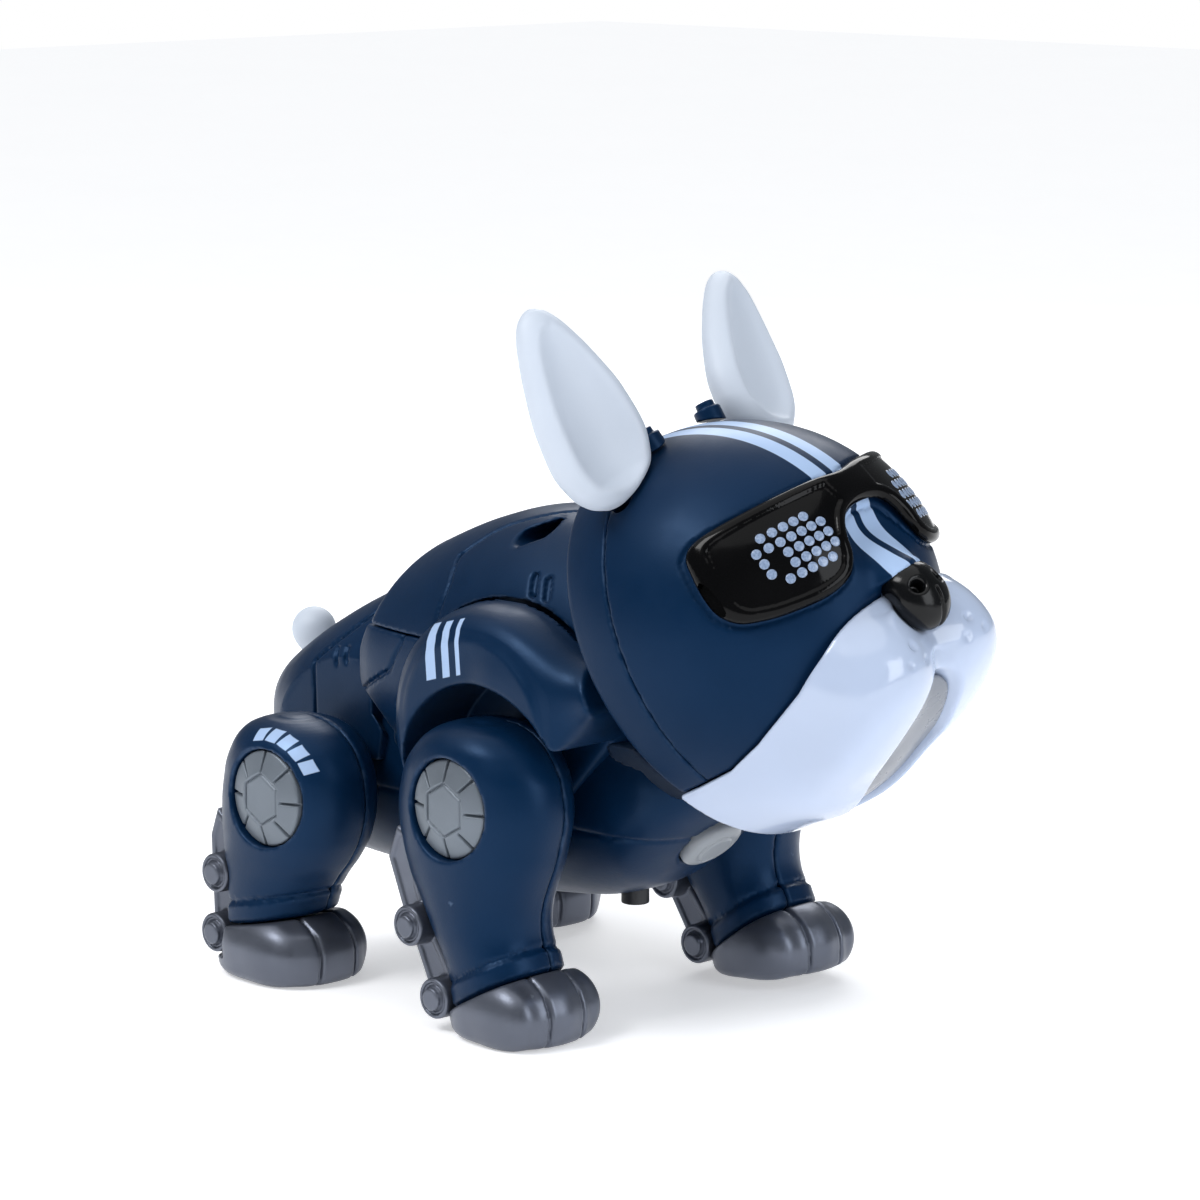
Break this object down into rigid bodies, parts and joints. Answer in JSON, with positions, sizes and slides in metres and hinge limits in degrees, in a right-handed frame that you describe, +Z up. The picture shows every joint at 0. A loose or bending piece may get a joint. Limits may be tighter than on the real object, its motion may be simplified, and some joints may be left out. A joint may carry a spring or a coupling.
{
  "type": "walking robot dog toy",
  "caption": "Robot bulldog toy with swinging legs, turning head, posable ears, tail, light-dot goggles and push buttons.",
  "frame": {"origin": "on the floor, under the middle of the overall box", "axes": "+X towards the nose, +Y to the dog's left, +Z up"},
  "size_m": [0.2448, 0.1292, 0.1969],
  "materials": {
    "navy_plastic": "satin navy plastic",
    "soft_white": "matte white",
    "gloss_white": "gloss white",
    "gloss_black": "gloss black",
    "disc_grey": "pearl grey",
    "gunmetal_plastic": "metallic dark grey",
    "insert_grey": "satin grey",
    "dark_plastic": "black moulding",
    "steel": "plain steel",
    "board_green": "printed circuit board",
    "cell": "cell wrap"
  },
  "bodies": {
    "torso": {"back_shell": "navy_plastic", "rump_shell": "navy_plastic", "side_panel_right": "navy_plastic", "side_panel_left": "navy_plastic", "belly_shell": "navy_plastic", "battery_cover": "navy_plastic", "battery_cover_screw": "steel", "neck_collar": "navy_plastic", "battery_box": "dark_plastic", "battery_1": "cell", "battery_2": "cell", "battery_3": "cell", "gearbox": "dark_plastic", "drive_motor": "steel", "rear_axle_block": "dark_plastic", "main_circuit_board": "board_green", "speaker": "dark_plastic"},
    "head": {"head_face_shell": "navy_plastic", "head_rear_shell": "navy_plastic", "goggles": "gloss_black", "muzzle": "gloss_white", "mouth_insert": "insert_grey", "nose": "gloss_black", "neck_shaft": "dark_plastic", "led_board_right": "board_green", "led_board_left": "board_green", "ear_bracket_right": "navy_plastic", "ear_bracket_left": "navy_plastic"},
    "ear_right_body": {"ear_right": "soft_white"},
    "ear_left_body": {"ear_left": "soft_white"},
    "tail_body": {"tail": "soft_white"},
    "chest_button_body": {"chest_button": "disc_grey"},
    "power_button_body": {"power_button": "dark_plastic"},
    "front_right_leg": {"front_right_outer_shell": "navy_plastic", "front_right_inner_shell": "navy_plastic", "front_right_hip_disc": "disc_grey", "front_right_strut": "gunmetal_plastic", "front_right_foot": "gunmetal_plastic", "front_right_hip_shaft": "steel"},
    "front_left_leg": {"front_left_outer_shell": "navy_plastic", "front_left_inner_shell": "navy_plastic", "front_left_hip_disc": "disc_grey", "front_left_strut": "gunmetal_plastic", "front_left_foot": "gunmetal_plastic", "front_left_hip_shaft": "steel"},
    "rear_right_leg": {"rear_right_outer_shell": "navy_plastic", "rear_right_inner_shell": "navy_plastic", "rear_right_hip_disc": "disc_grey", "rear_right_strut": "gunmetal_plastic", "rear_right_foot": "gunmetal_plastic", "rear_right_hip_shaft": "steel"},
    "rear_left_leg": {"rear_left_outer_shell": "navy_plastic", "rear_left_inner_shell": "navy_plastic", "rear_left_hip_disc": "disc_grey", "rear_left_strut": "gunmetal_plastic", "rear_left_foot": "gunmetal_plastic", "rear_left_hip_shaft": "steel"}
  },
  "joints": [
    {"name": "head_turn", "type": "hinge", "parent": "torso", "child": "head", "pos_m": [0.04176, 0, 0.105], "axis": [0.8829, 0, 0.4695], "range_deg": [-31.5, 8.5]},
    {"name": "ear_turn_right", "type": "hinge", "parent": "head", "child": "ear_right_body", "pos_m": [0.04462, -0.03639, 0.14436], "axis": [-0.1426, -0.7606, 0.6333], "range_deg": [-12, 12]},
    {"name": "ear_turn_left", "type": "hinge", "parent": "head", "child": "ear_left_body", "pos_m": [0.03919, 0.02044, 0.15457], "axis": [-0.2588, 0.4555, 0.8518], "range_deg": [-12, 12]},
    {"name": "tail_wag", "type": "hinge", "parent": "torso", "child": "tail_body", "pos_m": [-0.11174, 0, 0.08], "axis": [0.8087, 0, 0.5882], "range_deg": [-9, 9]},
    {"name": "chest_button_press", "type": "slide", "parent": "torso", "child": "chest_button_body", "axis": [-0.6919, 0, 0.722], "range_m": [0, 0.0015], "stiffness_N_per_m": 300, "springref_m": -0.002},
    {"name": "power_button_press", "type": "slide", "parent": "torso", "child": "power_button_body", "axis": [0, 0, 1], "range_m": [0, 0.0012], "stiffness_N_per_m": 300, "springref_m": -0.002},
    {"name": "front_right_leg_swing", "type": "hinge", "parent": "torso", "child": "front_right_leg", "pos_m": [0.00477, 0, 0.0615], "axis": [0, -1, 0], "range_deg": [-4, 12]},
    {"name": "front_left_leg_swing", "type": "hinge", "parent": "torso", "child": "front_left_leg", "pos_m": [0.00477, 0, 0.0615], "axis": [0, -1, 0], "range_deg": [-12, 4]},
    {"name": "rear_right_leg_swing", "type": "hinge", "parent": "torso", "child": "rear_right_leg", "pos_m": [-0.06824, 0, 0.053], "axis": [0, -1, 0], "range_deg": [-12, 4]},
    {"name": "rear_left_leg_swing", "type": "hinge", "parent": "torso", "child": "rear_left_leg", "pos_m": [-0.06824, 0, 0.053], "axis": [0, -1, 0], "range_deg": [-4, 12]}
  ],
  "couplings": [
    {"joint": "front_left_leg_swing", "follows": "front_right_leg_swing", "ratio": -1},
    {"joint": "rear_right_leg_swing", "follows": "front_right_leg_swing", "ratio": -1},
    {"joint": "rear_left_leg_swing", "follows": "front_right_leg_swing", "ratio": 1}
  ]
}
